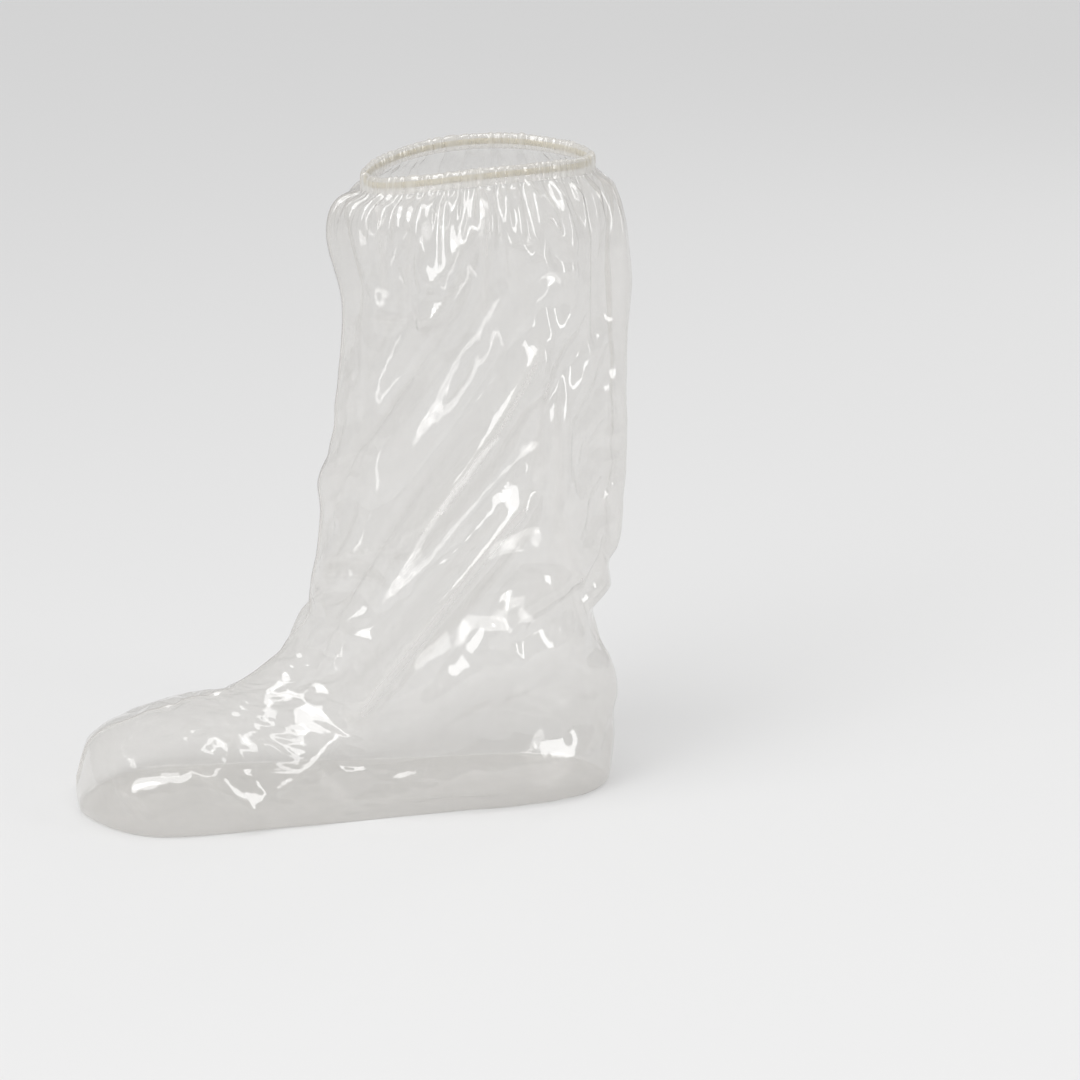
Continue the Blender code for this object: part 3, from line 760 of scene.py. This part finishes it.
def node(tree, kind, **values):
    """A node whose named inputs are set to values."""
    made = tree.nodes.new(kind)
    for name, value in values.items():
        made.inputs[name.replace("_", " ")].default_value = value
    return made


def math_node(tree, operation, first, second, clamp=False):
    """A math node of two inputs, each a number or a socket."""
    made = tree.nodes.new("ShaderNodeMath")
    made.operation = operation
    made.use_clamp = clamp
    for socket, value in zip(made.inputs, (first, second)):
        if isinstance(value, (int, float)):
            socket.default_value = value
        else:
            tree.links.new(value, socket)
    return made.outputs[0]


def new_material(name):
    """An empty node material and its output."""
    mat = bpy.data.materials.new(name)
    mat.use_nodes = True
    mat.node_tree.nodes.clear()
    out = mat.node_tree.nodes.new("ShaderNodeOutputMaterial")
    return mat, mat.node_tree, out


def mixed(tree, share, first, second):
    """Two shaders mixed by a share, which is a socket or a number."""
    made = tree.nodes.new("ShaderNodeMixShader")
    if isinstance(share, (int, float)):
        made.inputs[0].default_value = share
    else:
        tree.links.new(share, made.inputs[0])
    tree.links.new(first, made.inputs[1])
    tree.links.new(second, made.inputs[2])
    return made.outputs[0]


def film_bump(tree):
    """The fine waviness of handled film: its normal, and the waves themselves."""
    place = tree.nodes.new("ShaderNodeTexCoord").outputs["Object"]
    stretch = tree.nodes.new("ShaderNodeMapping")
    stretch.inputs["Scale"].default_value = FILM_WAVE_STRETCH
    tree.links.new(place, stretch.inputs["Vector"])
    waves = node(tree, "ShaderNodeTexNoise", Scale=FILM_WAVE_SCALE, Detail=2.0, Roughness=0.55)
    tree.links.new(stretch.outputs[0], waves.inputs["Vector"])
    bump = node(tree, "ShaderNodeBump", Strength=FILM_WAVE_STRENGTH, Distance=FILM_WAVE_DEPTH)
    tree.links.new(waves.outputs["Fac"], bump.inputs["Height"])
    return bump.outputs["Normal"], waves.outputs["Fac"]


def film_shader(name, haze, edge_haze, milky_haze, haze_color):
    """Clear film: what it lets through, a milky veil that thickens at a slant and on creases, and gloss."""
    mat, tree, out = new_material(name)
    normal, waves = film_bump(tree)
    facing = node(tree, "ShaderNodeLayerWeight", Blend=0.5).outputs["Facing"]
    slant = math_node(tree, "POWER", facing, FILM_VEIL_POWER)
    at_edges = math_node(tree, "MULTIPLY", slant, edge_haze)
    creases = tree.nodes.new("ShaderNodeAttribute")
    creases.attribute_name = "milky"
    on_creases = math_node(tree, "MULTIPLY", creases.outputs["Fac"], milky_haze)
    cloudy = math_node(tree, "MULTIPLY", waves, haze)
    veil = math_node(tree, "ADD", math_node(tree, "ADD", cloudy, HAZE_EVEN * haze), at_edges)
    veil = math_node(tree, "ADD", veil, on_creases, clamp=True)
    through = node(tree, "ShaderNodeBsdfTransparent", Color=FILM_CLEAR).outputs[0]
    cloud = node(tree, "ShaderNodeBsdfPrincipled", Roughness=FILM_VEIL_ROUGHNESS, Metallic=0.0)
    cloud.inputs["Base Color"].default_value = (*haze_color, 1.0)
    tree.links.new(normal, cloud.inputs["Normal"])
    body = mixed(tree, veil, through, cloud.outputs[0])
    grazing = math_node(tree, "POWER", facing, FILM_GLOSS_POWER)
    shine = math_node(tree, "ADD", math_node(tree, "MULTIPLY", grazing, 1.0 - FILM_SHINE), FILM_SHINE)
    gloss = node(tree, "ShaderNodeBsdfGlossy", Color=(1.0, 1.0, 1.0, 1.0), Roughness=FILM_GLOSS_ROUGHNESS)
    tree.links.new(normal, gloss.inputs["Normal"])
    tree.links.new(mixed(tree, shine, body, gloss.outputs[0]), out.inputs["Surface"])
    return mat


def film_material():
    """The film of the bag."""
    return film_shader("clear_film", **FILM_LOOK)


def hem_material():
    """The gathered film of the casing, denser because it lies in pleats."""
    return film_shader("gathered_film", **HEM_LOOK)


def elastic_material():
    """Woven elastic: fine ribs across the band over a cream ground."""
    mat, tree, out = new_material("cream_elastic")
    place = tree.nodes.new("ShaderNodeTexCoord").outputs["Object"]
    parts = tree.nodes.new("ShaderNodeSeparateXYZ")
    tree.links.new(place, parts.inputs[0])
    turn = math_node(tree, "ARCTAN2", parts.outputs["Y"], parts.outputs["X"])
    ribs = math_node(tree, "SINE", math_node(tree, "MULTIPLY", turn, ELASTIC_RIBS), 0.0)
    stain = node(tree, "ShaderNodeTexNoise", Scale=ELASTIC_STAIN_SCALE, Detail=2.0)
    tree.links.new(place, stain.inputs["Vector"])
    ramp = tree.nodes.new("ShaderNodeValToRGB")
    ramp.color_ramp.elements[0].color = ELASTIC_DARK
    ramp.color_ramp.elements[1].color = ELASTIC_CREAM
    tree.links.new(stain.outputs["Fac"], ramp.inputs["Fac"])
    bump = node(tree, "ShaderNodeBump", Strength=ELASTIC_RIB_STRENGTH, Distance=ELASTIC_RIB_DEPTH)
    tree.links.new(ribs, bump.inputs["Height"])
    cloth = node(tree, "ShaderNodeBsdfPrincipled", Roughness=ELASTIC_ROUGHNESS)
    tree.links.new(ramp.outputs["Color"], cloth.inputs["Base Color"])
    tree.links.new(bump.outputs["Normal"], cloth.inputs["Normal"])
    tree.links.new(cloth.outputs[0], out.inputs["Surface"])
    return mat


def rim_ring(turns):
    """The film's edge at the mouth, the level direction out of it, and the angles."""
    angle = 2.0 * math.pi * np.arange(turns) / turns
    section = np.array(shaft_section(SHAFT_SECTIONS[0]))
    points = section_points(section, angle)
    around = np.roll(points, -1, axis=0) - np.roll(points, 1, axis=0)
    outward = np.stack([around[:, 1], -around[:, 0], np.zeros(turns)], axis=1)
    outward /= np.linalg.norm(outward, axis=1, keepdims=True)
    outward *= np.sign((outward * points).sum(axis=1, keepdims=True))
    return points, outward, angle


def pleat_wave(angle):
    """The uneven run of the casing's pleats, from 0 to 1."""
    drift = uneven(HEM_DRIFT, angle)
    wide = 0.5 + 0.5 * np.cos(HEM_PLEATS * angle + drift)
    narrow = 0.5 + 0.5 * np.cos(HEM_FINE_PLEATS * angle + 2.0 * drift)
    return uneven(HEM_EVENNESS, angle) * mix(wide, narrow, HEM_FINE_SHARE)


def make_hem():
    """The gathered casing round the mouth."""
    points, outward, angle = rim_ring(HEM_TURNS)
    wave = pleat_wave(angle)
    rows = []
    for place in HEM_SECTION:
        item = dict(zip(HEM_COLUMNS, place))
        out = item["out"] + item["pleat"] * HEM_PLEAT_DEPTH * wave - 0.5 * WALL
        row = points + outward * out[:, None]
        row[:, 2] += item["up"] + HEM_SCALLOP * wave * float(smooth(item["up"] / HEM_SCALLOP_START))
        rows.append(row)
    grid = curve_through(np.array(rows).reshape(len(rows), -1), HEM_STEPS).reshape(-1, HEM_TURNS, 3)
    hem = grid_mesh("hem", grid)
    set_milky(hem, np.broadcast_to(HEM_MILK * wave, grid.shape[:2]))
    hem.data.materials.append(hem_material())
    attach(hem, "root")
    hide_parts("top_hem")
    return hem


def make_elastic():
    """The narrow elastic inside the casing, slightly rippled where the film pulls at it."""
    points, outward, angle = rim_ring(ELASTIC_TURNS)
    ripple = uneven(ELASTIC_RIPPLE, angle)
    rows = []
    for out, up in ELASTIC_SECTION:
        row = points + outward * (out * ELASTIC_THICK + ripple - 0.5 * WALL)[:, None]
        row[:, 2] += ELASTIC_LIFT + up * ELASTIC_HEIGHT
        rows.append(row)
    band = grid_mesh("elastic", np.array(rows)[::-1], closed=True)
    band.data.materials.append(elastic_material())
    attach(band, "root")
    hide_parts("elastic_band")
    return band


def add_camera():
    """The camera at the photograph's angle."""
    data = bpy.data.cameras.new("camera")
    data.lens = CAMERA_LENS
    data.sensor_width = CAMERA_SENSOR
    data.clip_end = CAMERA_FAR
    camera = bpy.data.objects.new("camera", data)
    camera.location = CAMERA_PLACE
    camera.rotation_euler = Euler((math.pi / 2.0 - CAMERA_PITCH, 0.0, CAMERA_YAW))
    bpy.context.scene.collection.objects.link(camera)
    bpy.context.scene.camera = camera


def add_softbox(row):
    """A soft rectangular light that faces the cover."""
    item = dict(zip(SOFTBOX_COLUMNS, row))
    data = bpy.data.lights.new(item["name"], "AREA")
    data.shape = "RECTANGLE"
    data.size = item["width"]
    data.size_y = item["height"]
    data.energy = item["power"]
    light = bpy.data.objects.new(item["name"], data)
    light.location = item["place"]
    way = Vector(LIGHT_TARGET) - Vector(item["place"])
    light.rotation_euler = way.to_track_quat("-Z", "Y").to_euler()
    bpy.context.scene.collection.objects.link(light)


def add_stage():
    """A wide pale floor just under the sole."""
    mesh = bpy.data.meshes.new("floor")
    half = 0.5 * FLOOR_SIZE
    level = -WALL - FLOOR_GAP
    corners = [(-half, -half, level), (half, -half, level), (half, half, level), (-half, half, level)]
    mesh.from_pydata(corners, [], [(0, 1, 2, 3)])
    floor = bpy.data.objects.new("floor", mesh)
    bpy.context.scene.collection.objects.link(floor)
    mat, tree, out = new_material("floor")
    paint = node(tree, "ShaderNodeBsdfPrincipled", Base_Color=FLOOR_COLOR, Roughness=FLOOR_ROUGHNESS)
    grain = node(tree, "ShaderNodeTexNoise", Scale=FLOOR_GRAIN_SCALE)
    bump = node(tree, "ShaderNodeBump", Strength=FLOOR_GRAIN_STRENGTH)
    tree.links.new(grain.outputs["Fac"], bump.inputs["Height"])
    tree.links.new(bump.outputs["Normal"], paint.inputs["Normal"])
    tree.links.new(paint.outputs[0], out.inputs["Surface"])
    mesh.materials.append(mat)


def add_sun():
    """A distant soft light that lights the whole floor alike."""
    data = bpy.data.lights.new("sky", "SUN")
    data.energy = SUN_STRENGTH
    data.angle = SUN_SPREAD
    light = bpy.data.objects.new("sky", data)
    light.rotation_euler = (-Vector(SUN_PLACE)).to_track_quat("-Z", "Y").to_euler()
    bpy.context.scene.collection.objects.link(light)


def add_lights():
    """Soft studio light, with whites that stay white in the picture."""
    bpy.context.scene.view_settings.view_transform = "Standard"
    world = bpy.data.worlds.new("world")
    world.use_nodes = True
    background = world.node_tree.nodes["Background"]
    background.inputs["Color"].default_value = ROOM_COLOR
    background.inputs["Strength"].default_value = ROOM_STRENGTH
    bpy.context.scene.world = world
    add_sun()
    for row in SOFTBOXES:
        add_softbox(row)


def main():
    """Dresses the solids, and sets the floor, the light and the camera."""
    film = make_film()
    hem = make_hem()
    elastic = make_elastic()
    add_stage()
    add_lights()
    add_camera()


main()
